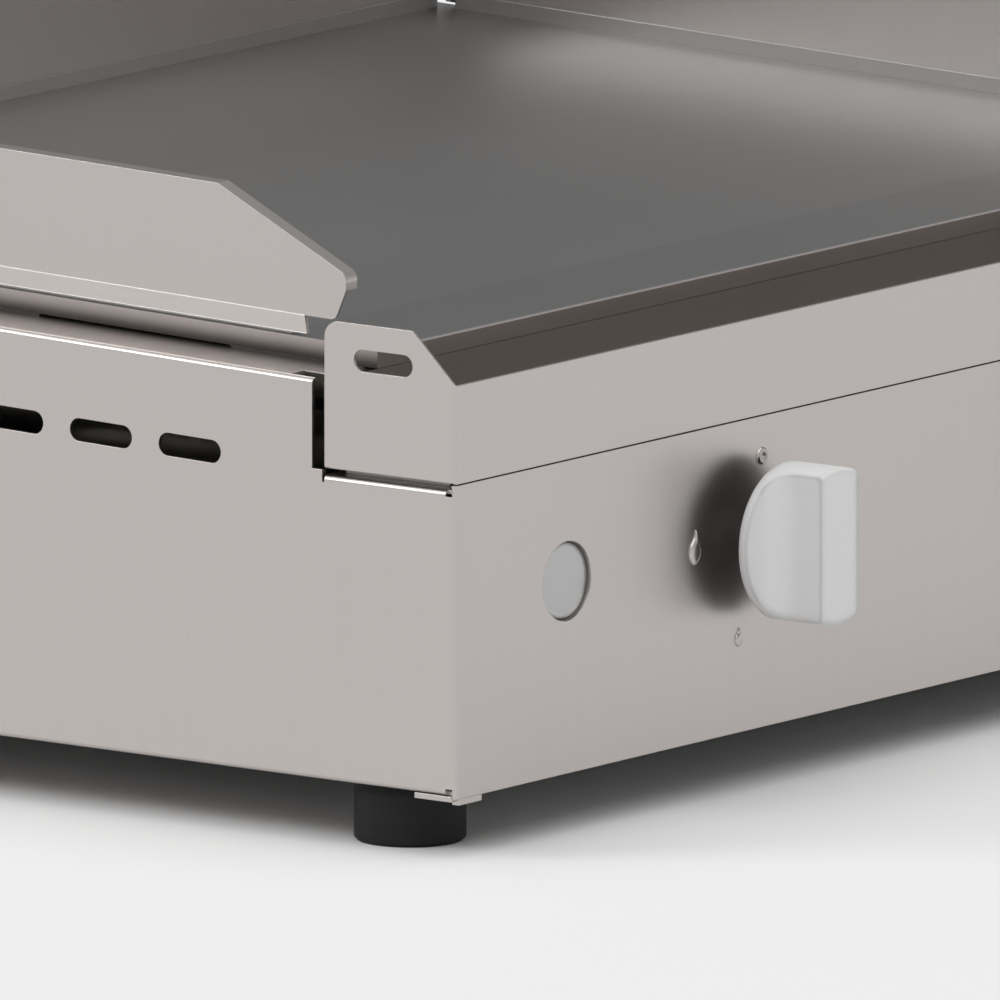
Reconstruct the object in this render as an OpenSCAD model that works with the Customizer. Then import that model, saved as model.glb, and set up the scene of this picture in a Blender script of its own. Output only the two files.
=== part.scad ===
// Gas plancha griddle, table-top, two burners.
// Working frame of the modules: X from the outer left side, Y from the front panel
// towards the back, Z from the chassis' bottom edge. place() carries it to the row
// frame: origin on the ground, below the middle of the bounding box, +Y to the back.

/* [Chassis] */
// Width over the side panels
chassis_w = 620; // [600:5:720]
// Depth from the front panel to the rear panel
chassis_d = 480; // [460:5:540]
// Height of the front panel
front_h = 112.7; // [108:0.1:118]
// Depth of the front panel's bottom edge below the side panels' bottom edge
front_low = 1; // [0.5:0.1:1.5]
// Height of the side panels' top flange above the bottom edge, at the front
side_h = 143.5; // [142:0.5:150]
// Sheet thickness of the chassis
sheet = 1.5; // [1.2:0.1:2]
// Outer radius of the folds
bend_r = 2; // [2:0.1:3]
// Rise of the side flanges and the plate towards the back, in degrees
rise = 1.63; // [0:0.01:2.2]
// Width of the side panels' top and bottom flanges
flange_w = 45; // [42:1:50]
// Depth of the notch in each side panel that takes the grease tray
notch_d = 63.8; // [62:0.1:68]
// Drop of the notch's flange below the front panel's top edge
notch_drop = 1.9; // [1.6:0.1:2.4]
// Width of the relief slits at the ends of the notch's fold
slit_w = 0.9; // [0.6:0.1:1.6]
// Thickness of the rear panel and the base pan
pan_sheet = 1.2; // [1:0.1:1.5]

/* [Side vents] */
// Length of a vent slot
vent_l = 28; // [20:1:32]
// Height of a vent slot
vent_h = 8.4; // [6:0.2:10]
// Middle of the first vent slot behind the front panel
vent_first = 117.8; // [110:0.1:130]
// Middle of the last vent slot in front of the rear panel's face
vent_last = 82.2; // [70:0.1:90]
// Number of vent slots in each side
vent_count = 8; // [3:1:8]
// Depth of the vent slots' middle below the top flange
vent_drop = 32.5; // [28:0.5:36]

/* [Feet] */
// Diameter of a rubber foot
foot_d = 40.4; // [36:0.2:44]
// Height of a rubber foot
foot_h = 23.3; // [20:0.1:28]
// Distance of a foot's middle from the side
foot_x = 28; // [26:0.5:32]
// Distance of a foot's middle from the front and the back
foot_y = 41; // [38:0.5:50]
// Length of the corner plate under each chassis corner
corner_l = 18; // [15:0.5:19]

/* [Grease tray] */
// Sheet thickness of the tray
tray_sheet = 1.2; // [1:0.1:1.5]
// Outer radius of the tray's bottom folds at its ends
tray_fold = 1.3; // [1.2:0.1:3]
// Gap between the front panel and the tray
tray_seam = 0.5; // [0.4:0.1:1.2]
// Height of the tray's front wall
tray_h = 35.7; // [32:0.1:38]
// Height of the ears at the tray's ends
ear_h = 53.9; // [52:0.1:58]
// Start of an ear's flat top behind the front wall
ear_flat = 19.1; // [17:0.1:21]
// Depth of the tray, front to back
tray_d = 58.2; // [56:0.1:59]
// Rounding of an ear's rear corner
ear_r = 6; // [3:0.5:8]
// Length of the finger slot in each ear
grip_l = 26.3; // [22:0.1:27]
// Height of the finger slot in each ear
grip_h = 8; // [6:0.5:9]
// Middle of the finger slot behind the front wall
grip_y = 31.95; // [31:0.05:34]
// Depth of the finger slot's middle below the ear's top
grip_drop = 13.1; // [12:0.1:15]

/* [Cooking plate] */
// Thickness of the plate
plate_t = 7.2; // [6:0.1:10]
// Distance of the plate's edge from the side
plate_x = 26; // [25:0.5:28]
// Overhang of the plate's front edge over the tray's back wall
plate_over = 4; // [2:0.1:5]
// Distance of the plate's rear edge from the rear panel
plate_rear = 26; // [22:1:32]
// Rounding of the plate's front edge
plate_r = 1; // [0.5:0.1:3]
// Thickness of the pads between the side flanges and the plate
pad_t = 1.2; // [1:0.1:3]

/* [Splash guards] */
// Height of a guard above the plate
guard_h = 49.5; // [44:0.5:60]
// Sheet thickness of the guards
guard_t = 1.2; // [1:0.1:1.5]
// Distance of a side guard's wall from the side of the chassis
guard_x = 32; // [31:0.5:34]
// Width of the lip that is folded inward round a guard's edge
lip_w = 6.8; // [5:0.2:12]
// Height of the fold between a guard's wall and its skirt above the plate
skirt_h = 6.5; // [6:0.1:9]
// Gap between the skirt's lower edge and the plate
skirt_gap = 1.2; // [0.8:0.1:1.6]
// Distance of the guard's nose behind the plate's front edge
nose_y = 19.3; // [12:0.1:26]
// Height of the nose's middle above the plate
nose_h = 20.6; // [18:0.1:24]
// Radius of the nose
nose_r = 4.5; // [3:0.1:6]
// Start of a guard's full height behind the plate's front edge
slope_y = 77.8; // [60:0.1:100]

/* [Knobs] */
// Diameter of a knob
knob_d = 57.5; // [50:0.5:62]
// Depth of a knob
knob_depth = 24.5; // [22:0.5:30]
// Distance of the knob's back from the front panel
knob_off = 12; // [8:0.5:14]
// Distance of a knob's axis from the nearer side
knob_x = 182; // [170:1:190]
// Height of the knob axes above the chassis' bottom edge
knob_z = 69; // [67:0.5:71]
// Thickness of the knob's disc
disc_t = 4.2; // [3:0.1:7]
// Thickness of the knob's grip bar
bar_t = 22; // [16:0.5:26]
// Radius of the hollow between the bar and the disc
scoop_r = 9; // [4:0.5:10]
// Push of a knob before it turns
knob_push = 3; // [2:0.5:4]

/* [Igniter] */
// Distance of the ignition button's axis from the left side
button_x = 67; // [60:0.5:75]
// Diameter of the button's hole in the front panel
button_hole = 29; // [26:0.5:31]
// Gap round the button's cap
button_gap = 0.7; // [0.5:0.1:1.2]
// Depth of the button's rim behind the front panel's face
button_deep = 1.6; // [0.3:0.1:2]
// Travel of the button
button_travel = 6; // [4:0.5:6]

/* [Gas] */
// Radius of the manifold tube
manifold_r = 9; // [8:0.5:10]
// Depth of the manifold's axis below the knob axes
manifold_drop = 22; // [21:0.5:24]
// Half the distance between the two legs of a burner
leg_x = 60; // [50:1:66]
// Radius of a burner leg
leg_r = 12; // [11:0.5:13]
// Length of a burner leg
leg_l = 296; // [240:1:300]
// Radius of a burner's mixing tube
mixer_r = 10; // [9:0.5:10.5]
// Wall of the burner tubes
tube_wall = 0.8; // [0.6:0.1:1]
// Radius of the gas inlet's thread, G 1/2
inlet_r = 10.48; // [8:0.01:13]
// Length of the gas inlet behind the rear panel
inlet_l = 25; // [20:1:35]
// Distance of the gas inlet from the right side
inlet_x = 30; // [28:1:40]

/* [Hidden] */
$fn = 48;

// Clearances: running fits, screws in their holes, loose passages
run_gap = 0.05;
hole_gap = 0.3;
free_gap = 1.5;
// Overrun of a cut past the face it cuts
over = 1;

// Colours as the photograph shows them
steel = [0.74, 0.73, 0.72];
steel_dark = [0.45, 0.44, 0.43];
plate_grey = [0.42, 0.42, 0.43];
rubber = [0.11, 0.11, 0.11];
knob_grey = [0.74, 0.74, 0.74];
brass = [0.72, 0.58, 0.32];
ceramic = [0.93, 0.92, 0.88];
zinc = [0.62, 0.63, 0.65];
black = [0.08, 0.08, 0.08];

// Frame
knob_front = knob_off + knob_depth;
y_mid = (chassis_d + inlet_l - knob_front) / 2;
inner_w = chassis_w - 2 * sheet;
// Front plane of the rear panel, which closes the chassis
rear_y = chassis_d - pan_sheet;
pan_top = sheet + pan_sheet;
rear_flange = 15;
vent_pitch = (chassis_d - vent_first - vent_last) / (vent_count - 1);

// Notch and tray
notch_z = front_h - notch_drop;
tray_z = front_h + tray_seam;
relief_start = 1.3;
relief_w = 2.9;
relief_h = 2.2;
relief_low = 2.6;
slit_y = notch_d - 5.4;
slit_h = 2.6;
flange_cut_w = 8;
flange_cut_l = 11.2;
tray_top = tray_z + tray_h;
ear_top = tray_z + ear_h;
grip_z = ear_top - grip_drop;
runner_w = 12;
runner_x = 8;

// Plate, in the tilted frame whose z = 0 is the side flanges' top
plate_y = tray_d - plate_over;
plate_w = chassis_w - 2 * plate_x;
plate_end = chassis_d - plate_rear;
plate_top = pad_t + plate_t;
under_plate = side_h + plate_y * tan(rise) + pad_t;
tray_back_top = under_plate - 1;
pad_w = 12;
pad_inset = 5;
pad_l = 60;

// Guards, in the tilted frame raised to the plate's top
guard_nose = plate_y + nose_y;
guard_full = plate_y + slope_y;
guard_back = plate_end - 5.6;
nose_low = nose_h - 3;
foot_corner = guard_nose + 4.8;
skirt_front = guard_nose + 11.6;
skirt_rake = 6.7;
skirt_run = 5.7;
skirt_shift = guard_t * norm([skirt_run, skirt_h - skirt_gap]) / (skirt_h - skirt_gap);
bar_front = skirt_front + skirt_rake + 2;
bar_screw_r = 1.5;
bar_screw_x = guard_x - 0.8;
bar_side = 2;
bar_end = 8;
bar_bite = 2.2;
screw_front = 20;
screw_back = 40;
screw_r = 2;

// Front cross wall behind the tray
baffle_y = notch_d + 2.7;
baffle_t = 1.2;
baffle_x = 12;
baffle_top = under_plate - 5;
baffle_foot = 16;
baffle_lip = 14;
lip_side = 4;
tab_low = 15;
tab_top = 95;
tab_l = 14;

// Gas train, along each knob's axis
knob_xs = [knob_x, chassis_w - knob_x];
stem_r = 4;
stem_end = 26;
stem_hole = 6.5;
tap_front = 8;
tap_r = 10;
tap_end = 50;
tap_nose = 56;
tap_nose_r = 6;
stem_bore_end = 38;
plunger_r = 2;
plunger_l = 18;
manifold_y = 34;
manifold_z = knob_z - manifold_drop;
manifold_over = 42;
saddle_w = 22;
saddle_l = 26;
injector_r = 3;
mixer_front = tap_nose + 4;
cross_y = baffle_y + 52;
cross_r = mixer_r + 0.5;
leg_front = cross_y - 14;
port_r = 1.2;
port_count = 12;
port_first = cross_y + 24;
port_pitch = (leg_front + leg_l - 27 - port_first) / (port_count - 1);
cradle_y = leg_front + leg_l - 12;
cradle_t = 2;
cradle_foot = 14;
cradle_side = 8;
shield_z = knob_z - 29;
shield_back = cradle_y - 16;
shield_side = 13;
shield_front = 20;
shield_t = 0.8;
probe_r = 2.5;
probe_over = 6;
collar_l = 3;
collar_w = 2.5;
spark_x = -leg_x - leg_r - 4;
probe_x = leg_x + leg_r + 4;
rod_z = knob_z + 9;
rod_back = baffle_y - 14;
ceramic_r = 3;
tip_end = port_first + 14;

// Feed pipe and inlet
feed_r = 5;
feed_bend = 16;
feed_x = chassis_w - inlet_x;
feed_y = manifold_y;
inlet_z = manifold_z;
inlet_hex = 15;
inlet_neck = 7;

// Igniter
button_r = button_hole / 2 - button_gap;
cap_l = 8;
housing_r = button_hole / 2 + 2.5;
housing_mid_r = 11;
cavity_r = button_hole / 2 - 0.3;
cap_back = button_deep + cap_l;
cavity_end = cap_back + button_travel + 0.4;
pocket_end = cavity_end + 12;
housing_end = 52;
button_stem_r = 4;
button_stem_end = pocket_end + 2;
dish_r = 42;
stud_x = housing_r + 6;
terminal_y = 46;
terminal_z = knob_z + housing_mid_r + 5;

// Tap port that the thermocouple's line leaves
port_y = manifold_y + 10;
port_end = 17;

// Ignition leads and thermocouple lines: fractions of the way from tap to probe, and the leads' heights
lead_r = 1.75;
lead_bend = 8;
lead_low = rod_z + 18.5;
lead_high = rod_z + 28;
lead_y = baffle_y - 12;
clip_xs = [knob_xs[0] - 2, chassis_w / 2 - 10];
line_r = 1;
line_shape = [[0, 0, 0], [0.12, 0, 0], [0.39, 0, 0.06], [0.66, 0, 0.33], [0.83, 0.06, 0.67], [0.93, 0.25, 0.89],
    [0.98, 0.5, 0.98], [1, 0.75, 1], [1, 1, 1]];

echo(overall = [chassis_w, chassis_d + inlet_l + knob_front, foot_h + side_h + guard_h]);

// Placing and framing

module place(tint) {
    color(tint) translate([-chassis_w / 2, -y_mid, foot_h]) children();
}

// Tilted frame of the flanges and the plate, raised by z
module tilted(z = 0) {
    translate([0, 0, side_h]) rotate([rise, 0, 0]) translate([0, 0, z]) children();
}

// The same thing again, mirrored to the right side
module both_sides() {
    children();
    other_side() children();
}

module other_side() {
    translate([chassis_w, 0, 0]) mirror([1, 0, 0]) children();
}

// Extrudes a YZ outline along X, from x0
module across(x0, len) {
    translate([x0, 0, 0]) rotate([90, 0, 90]) linear_extrude(len) children();
}

// Extrudes an XZ outline along Y, from y0
module along(y0, len) {
    translate([0, y0 + len, 0]) rotate([90, 0, 0]) linear_extrude(len) children();
}

// Cylinder along Y from y0
module rod_y(x, y0, z, r, len) {
    translate([x, y0, z]) rotate([-90, 0, 0]) cylinder(r = r, h = len);
}

// Cylinder along X from x0
module rod_x(x0, y, z, r, len) {
    translate([x0, y, z]) rotate([0, 90, 0]) cylinder(r = r, h = len);
}

// Outlines

// Square with its lower corners rounded
module low_round(w, h, r) {
    translate([0, r]) square([w, h - r]);
    translate([r, 0]) square([w - 2 * r, h]);
    translate([r, r]) circle(r);
    translate([w - r, r]) circle(r);
}

// Square with all its corners rounded
module all_round(w, h, r) {
    translate([0, r]) square([w, h - 2 * r]);
    translate([r, 0]) square([w - 2 * r, h]);
    for (x = [r, w - r]) {
        for (y = [r, h - r]) {
            translate([x, y]) circle(r);
        }
    }
}

// Slot with round ends, its middle at the origin
module slot(l, h) {
    square([l - h, h], center = true);
    for (side = [-1, 1]) {
        translate([side * (l - h) / 2, 0]) circle(h / 2);
    }
}

// Fold of a sheet: flange to the right, leg downward, outer corner at the origin
module fold(w, leg, r, t) {
    translate([r, -t]) square([w - r, t]);
    translate([0, -leg]) square([t, leg - r]);
    intersection() {
        translate([0, -r]) square([r, r]);
        difference() {
            translate([r, -r]) circle(r);
            translate([r, -r]) circle(r - t);
        }
    }
}

// Tube with round rings swept along a route of points
function unit(v) = v / norm(v);
function tangent(p, i) =
    i == 0 ? unit(p[1] - p[0]) :
    i == len(p) - 1 ? unit(p[i] - p[i - 1]) :
    unit(unit(p[i + 1] - p[i]) + unit(p[i] - p[i - 1]));
function side_of(t, n) = unit(n - (n * t) * t);
function frames(p, i, n) = i == len(p) ? [] :
    let (t = tangent(p, i), s = side_of(t, n)) concat([[s, cross(t, s)]], frames(p, i + 1, s));
module tube(route, r, sides) {
    start = tangent(route, 0);
    seed = abs(start[0]) < 0.9 ? [1, 0, 0] : [0, 0, 1];
    basis = frames(route, 0, seed);
    last = len(route) - 1;
    points = [for (i = [0 : last]) for (k = [0 : sides - 1])
        route[i] + r * (cos(360 * k / sides) * basis[i][0] + sin(360 * k / sides) * basis[i][1])];
    walls = [for (i = [0 : last - 1]) for (k = [0 : sides - 1]) for (half = [0, 1])
        let (a = i * sides + k, b = i * sides + (k + 1) % sides)
        half == 0 ? [a, a + sides, b] : [b, a + sides, b + sides]];
    caps = concat([for (k = [1 : sides - 2]) [0, k, k + 1]],
        [for (k = [1 : sides - 2]) [last * sides, last * sides + k + 1, last * sides + k]]);
    polyhedron(points, concat(walls, caps));
}

// Chassis

// Height of the side panels' top flange at a distance behind the front
function top_at(y) = side_h + y * tan(rise);

module wall_plan() {
    difference() {
        all_round(chassis_w, rear_y, bend_r);
        translate([sheet, sheet]) all_round(inner_w, rear_y - 2 * sheet, bend_r - sheet + 0.1);
        translate([rear_flange, rear_y / 2]) square([chassis_w - 2 * rear_flange, rear_y]);
    }
}

// Side view of the folded walls, with the notch and the corner reliefs
module wall_profile() {
    polygon([[-over, -front_low], [sheet, -front_low], [sheet, bend_r], [rear_y + over, bend_r],
        [rear_y + over, top_at(rear_y + over) - bend_r - 1], [notch_d, top_at(notch_d) - bend_r - 1],
        [notch_d, front_h], [slit_y + 0.7 * slit_w, front_h], [slit_y + 0.7 * slit_w, notch_z - bend_r],
        [sheet, notch_z - bend_r],
        [sheet, front_h], [-over, front_h]]);
}

// Square reliefs where the side panels' folds meet the front corners, and the slits behind the notches' folds
module relief_cuts() {
    for (z = [[-over, relief_low + over], [notch_z - relief_h, relief_h + over]]) {
        both_sides() translate([-over, relief_start, z[0]]) cube([bend_r + over, relief_w, z[1]]);
    }
    both_sides() translate([-over, slit_y, notch_z - slit_h]) cube([flange_w, slit_w, slit_h + notch_drop + over]);
}

module side_folds() {
    relief_mid = relief_start + relief_w / 2;
    cut_x = bend_r + 0.5;
    cut_end = cut_x + flange_cut_w;
    difference() {
        tilted() along(slit_y, (rear_y - sheet) / cos(rise) - slit_y) fold(flange_w, bend_r + 2, bend_r, sheet);
        translate([0, 0, front_h]) linear_extrude(side_h) polygon([[-over, slit_y - over], [cut_end, slit_y - over],
            [cut_end, notch_d + flange_cut_l], [cut_x, notch_d + flange_cut_l], [cut_x, notch_d], [-over, notch_d]]);
    }
    translate([0, 0, notch_z]) along(relief_mid, slit_y + 0.3 * slit_w - relief_mid)
        fold(runner_x + runner_w + 4, bend_r + 2, bend_r, sheet);
    along(relief_mid, rear_y - sheet - relief_mid) mirror([0, 1]) fold(flange_w, bend_r + 2, bend_r, sheet);
}

module vent_cuts() {
    for (i = [0 : vent_count - 1]) {
        tilted(-vent_drop) translate([0, vent_first + i * vent_pitch, 0]) rotate([90, 0, 90])
            translate([0, 0, -over]) linear_extrude(chassis_w + 2 * over) slot(vent_l, vent_h);
    }
}

module chassis_wrap() {
    place(steel) difference() {
        union() {
            intersection() {
                translate([0, 0, -front_low - over]) linear_extrude(top_at(chassis_d) + 3 * over) wall_plan();
                across(-over, chassis_w + 2 * over) wall_profile();
            }
            both_sides() side_folds();
        }
        relief_cuts();
        vent_cuts();
        for (x = knob_xs) {
            rod_y(x, -over, knob_z, stem_hole, sheet + 2 * over);
        }
        rod_y(button_x, -over, knob_z, button_hole / 2, sheet + 2 * over);
        foot_spots() translate([0, 0, -over]) cylinder(r = foot_shank + hole_gap, h = pan_top + 2 * over);
        pan_spots() translate([0, 0, -over]) cylinder(r = screw_r + hole_gap, h = sheet + 2 * over);
        rear_spots() rotate([90, 0, 0]) cylinder(r = screw_r + hole_gap, h = 3 * sheet + over);
    }
}

module rear_panel() {
    top = top_at(rear_y) - 0.5;
    place(steel) difference() {
        union() {
            translate([0, rear_y, 0]) cube([chassis_w, pan_sheet, top]);
            along(rear_y - rear_flange, rear_flange + pan_sheet / 2)
                translate([flange_w + 2, top - pan_sheet - 1]) square([chassis_w - 2 * flange_w - 4, pan_sheet]);
        }
        rear_spots() translate([0, pan_sheet + over, 0]) rotate([90, 0, 0])
            cylinder(r = screw_r + hole_gap, h = pan_sheet + 2 * over);
        rod_y(feed_x, rear_y - over, inlet_z, inlet_neck + hole_gap, pan_sheet + 2 * over);
        for (i = [-4 : 4]) {
            translate([chassis_w / 2 + i * vent_pitch, rear_y - over, top / 2]) rotate([-90, 0, 0])
                linear_extrude(pan_sheet + 2 * over) slot(vent_l, vent_h);
        }
    }
}

// Places of the screws that hold the rear panel to the side panels' rear flanges
module rear_spots() {
    for (x = [rear_flange / 2 + 1, chassis_w - rear_flange / 2 - 1]) {
        for (z = [25, front_h]) {
            translate([x, rear_y, z]) children();
        }
    }
}

module panel_screws() {
    place(zinc) rear_spots() translate([0, pan_sheet, 0]) rotate([90, 0, 0]) machine_screw(screw_r, 8);
}

// Screw along +Z with its head below z = 0
module machine_screw(r, len) {
    difference() {
        union() {
            cylinder(r = r, h = len);
            translate([0, 0, -0.9 * r]) cylinder(r = 1.9 * r, h = 0.9 * r);
        }
        translate([-1.3 * r, -0.2 * r, -0.9 * r - over]) cube([2.6 * r, 0.4 * r, 0.45 * r + over]);
    }
}

module base_pan() {
    slot_l = 60;
    slots = 6;
    edge = sheet + 0.6;
    place(steel) difference() {
        union() {
            translate([edge, sheet, sheet]) cube([chassis_w - 2 * edge, rear_y - 3 * sheet, pan_sheet]);
            translate([edge + bend_r, sheet, sheet])
                cube([chassis_w - 2 * (edge + bend_r), pan_sheet, 14]);
        }
        for (x = [sheet, chassis_w - sheet]) {
            translate([x, sheet, 0]) cube([2 * bend_r, 2 * bend_r, 40], center = true);
        }
        for (i = [0 : slots - 1]) {
            for (j = [0 : 3]) {
                translate([chassis_w / 2 + (i - (slots - 1) / 2) * 80, baffle_y + 50 + j * 80, 0])
                    linear_extrude(20) slot(slot_l, 10);
            }
        }
        foot_spots() cylinder(r = foot_shank + hole_gap, h = 20);
        pan_spots() cylinder(r = screw_r + hole_gap, h = 20);
    }
}

// Places of the screws that hold the base pan to the bottom flanges
module pan_spots() {
    for (x = [flange_w - 12, chassis_w - flange_w + 12]) {
        for (y = [chassis_d / 4, chassis_d / 2, 3 * chassis_d / 4]) {
            translate([x, y, 0]) children();
        }
    }
}

module pan_screws() {
    place(zinc) pan_spots() machine_screw(screw_r, 7);
}

module corner_plates() {
    w = corner_l - 2;
    place(steel) both_sides() for (back = [0, 1]) {
        translate([0, back * rear_y, -2]) mirror([0, back, 0]) linear_extrude(2)
            polygon([[0, sheet], [w, sheet], [w, sheet + 1.5], [2.5, corner_l], [0, corner_l]]);
        if (back == 0) {
            translate([bend_r + 0.5, 0, -front_low - 2.3]) cube([w - bend_r - 0.5, sheet + 1.5, 2.3]);
        }
    }
}

// Feet

foot_shank = 3;

module foot_spots() {
    for (x = [foot_x, chassis_w - foot_x]) {
        for (y = [foot_y, chassis_d - foot_y]) {
            translate([x, y, 0]) children();
        }
    }
}

module feet() {
    r = foot_d / 2;
    bevel = 1.2;
    place(rubber) foot_spots() difference() {
        translate([0, 0, -foot_h]) rotate_extrude()
            polygon([[0, 0], [r - bevel, 0], [r, bevel], [r, foot_h - 4.6], [r - 1.4, foot_h], [0, foot_h]]);
        translate([0, 0, -foot_h - over]) cylinder(r = foot_shank + hole_gap, h = foot_h + 2 * over);
        translate([0, 0, -foot_h - over]) cylinder(r = 2.4 * foot_shank, h = foot_h / 2 + over);
    }
}

module foot_screws() {
    place(zinc) foot_spots() translate([0, 0, -foot_h / 2])
        machine_screw(foot_shank, foot_h / 2 + pan_top + 6);
}

module foot_nuts() {
    place(zinc) foot_spots() translate([0, 0, pan_top]) difference() {
        cylinder(r = 5.8, h = 5, $fn = 6);
        translate([0, 0, -over]) cylinder(r = foot_shank + run_gap, h = 5 + 2 * over);
    }
}

// Grease tray and what carries it

module front_baffle() {
    place(steel_dark) difference() {
        union() {
            translate([baffle_x, baffle_y, pan_top]) cube([chassis_w - 2 * baffle_x, baffle_t, baffle_top - pan_top]);
            translate([baffle_x, baffle_y, pan_top]) cube([chassis_w - 2 * baffle_x, baffle_foot, baffle_t]);
            both_sides() {
                translate([sheet, baffle_y, tab_low]) cube([baffle_x, baffle_t, tab_top - tab_low]);
                translate([sheet, baffle_y, tab_low]) cube([baffle_t, tab_l, tab_top - tab_low]);
            }
            translate([flange_w + lip_side, baffle_y, baffle_top - baffle_t])
                cube([chassis_w - 2 * (flange_w + lip_side), baffle_lip, baffle_t]);
        }
        for (x = knob_xs) {
            rod_y(x, baffle_y - over, knob_z, mixer_r + hole_gap, baffle_t + 2 * over);
            rod_y(x + spark_x, baffle_y - over, rod_z, ceramic_r + run_gap, baffle_t + 2 * over);
            rod_y(x + probe_x, baffle_y - over, rod_z, probe_r + run_gap, baffle_t + 2 * over);
        }
        rod_y(feed_x, baffle_y - over, inlet_z, feed_r + free_gap, baffle_t + 2 * over);
    }
}

module tray_runners() {
    place(steel) both_sides() translate([runner_x, relief_start + relief_w + 4, notch_z])
        cube([runner_w, slit_y - relief_start - relief_w - 8, tray_z - notch_z]);
}

module ear_outline() {
    union() {
        polygon([[0, tray_z], [tray_d, tray_z], [tray_d, ear_top - ear_r], [tray_d - ear_r, ear_top],
            [ear_flat, ear_top], [0, tray_top]]);
        intersection() {
            translate([tray_d - ear_r, ear_top - ear_r]) circle(ear_r);
            translate([tray_d - ear_r, ear_top - ear_r]) square(ear_r);
        }
    }
}

module grease_tray() {
    inner_d = tray_d - 2 * tray_sheet;
    inner = chassis_w - 2 * tray_sheet;
    place(steel) difference() {
        intersection() {
            linear_extrude(ear_top + over) low_round(chassis_w, tray_d + bend_r, bend_r);
            along(-over, tray_d + 2 * over) translate([0, tray_z]) low_round(chassis_w, ear_h + over, tray_fold);
            across(-over, chassis_w + 2 * over) ear_outline();
        }
        translate([tray_sheet, tray_sheet, tray_z + tray_sheet]) cube([inner, inner_d, ear_h + over]);
        translate([tray_sheet, -over, tray_top]) cube([inner, 2 * tray_sheet + over, ear_h]);
        translate([tray_sheet, tray_d - 2 * tray_sheet, tray_back_top]) cube([inner, 3 * tray_sheet, ear_h]);
        translate([-over, grip_y, grip_z]) rotate([90, 0, 90]) linear_extrude(chassis_w + 2 * over)
            slot(grip_l, grip_h);
    }
}

// Cooking plate with its splash guards

module plate_pads() {
    place(steel_dark) both_sides() for (y = [notch_d + 30, chassis_d / 2, plate_end - 60]) {
        tilted() translate([plate_x + pad_inset, y - pad_l / 2, 0]) cube([pad_w, pad_l, pad_t]);
    }
}

module plate_profile() {
    difference() {
        translate([plate_y, pad_t]) square([plate_end - plate_y, plate_t]);
        translate([plate_y - over, plate_top - plate_r]) square([plate_r + over, plate_r + over]);
    }
    intersection() {
        translate([plate_y + plate_r, plate_top - plate_r]) circle(plate_r);
        translate([plate_y, plate_top - plate_r]) square(plate_r);
    }
}

module cooking_plate() {
    place(plate_grey) difference() {
        tilted() across(plate_x, plate_w) plate_profile();
        tilted() bar_spots() translate([0, 0, pad_t - over])
            cylinder(r = bar_screw_r + hole_gap, h = plate_t + 2 * over);
        tilted() bar_spots() translate([0, 0, pad_t - over])
            cylinder(r = 1.9 * bar_screw_r + hole_gap, h = 0.9 * bar_screw_r + over);
    }
}

// Side view of a guard, its edge drawn in by t
module guard_outline(t, rear, base) {
    nose = [guard_nose + nose_r, nose_h];
    corner = [guard_full, guard_h];
    reach = norm(corner - nose);
    touch = atan2(corner[1] - nose[1], corner[0] - nose[0]) + acos(nose_r / reach);
    r = nose_r - t;
    start = nose + r * [cos(touch), sin(touch)];
    climb = (guard_h - t - start[1]) / -cos(touch);
    bend = start + climb * [sin(touch), -cos(touch)];
    polygon([[foot_corner + 1.6, base], [rear, base], [rear, guard_h - t], bend, start, nose,
        [nose[0] - r, nose_h], [guard_nose + t, nose_low], [foot_corner - 1.4, skirt_h + 2.6],
        [foot_corner - 0.4, skirt_h + 0.7], [foot_corner + 1.6, skirt_h]]);
    translate(nose) circle(r);
}

module side_guard() {
    tilted(plate_top) {
        across(guard_x, guard_t) guard_outline(0, guard_back, skirt_h);
        intersection() {
            across(guard_x, lip_w) difference() {
                guard_outline(0, guard_back - lip_w - guard_t, skirt_h);
                guard_outline(guard_t, guard_back + over, 0);
            }
            translate([0, 0, nose_low]) cube([chassis_w, chassis_d, guard_h]);
        }
        intersection() {
            along(skirt_front - over, guard_back - skirt_front + over) skirt_section();
            across(0, chassis_w / 2) polygon([[skirt_front, 0], [skirt_front + skirt_rake, skirt_h],
                [skirt_front + skirt_rake, skirt_h + over], [guard_back, skirt_h + over], [guard_back, 0]]);
        }
    }
}

// Section of the skirt that slopes from the guard's wall down to the plate's edge
function skirt_points() =
    let (toe = guard_x - skirt_run, slope = (skirt_h - skirt_gap) / skirt_run,
        inner = skirt_gap + (guard_x + guard_t - toe - skirt_shift) * slope)
    [[guard_x, skirt_h], [toe, skirt_gap], [toe + skirt_shift, skirt_gap],
        [guard_x + guard_t, inner], [guard_x + guard_t, skirt_h]];

module skirt_section() {
    polygon(skirt_points());
}

module splash_guard_left() {
    place(steel) side_guard();
}

module splash_guard_right() {
    place(steel) other_side() side_guard();
}

module splash_guard_back() {
    side_gap = 0.2;
    x0 = guard_x + guard_t + side_gap;
    skirt = [for (p = skirt_points()) [guard_back + guard_x - p[0], p[1]]];
    inner = guard_back - guard_t;
    place(steel) tilted(plate_top) across(x0, chassis_w - 2 * x0)
        polygon([[guard_back - lip_w, guard_h], [guard_back, guard_h], skirt[0], skirt[1], skirt[2],
            skirt[3], [inner, guard_h - guard_t], [guard_back - lip_w, guard_h - guard_t]]);
}

// Section of the bar that is welded under a skirt and screwed to the plate from below
module bar_section() {
    toe = guard_x - skirt_run + skirt_shift;
    slope = (skirt_h - skirt_gap) / skirt_run;
    edge = guard_x + guard_t;
    polygon([[toe + run_gap, 0], [edge, 0], [edge, skirt_gap + (edge - toe) * slope - run_gap],
        [toe + run_gap, skirt_gap - run_gap]]);
}

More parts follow.
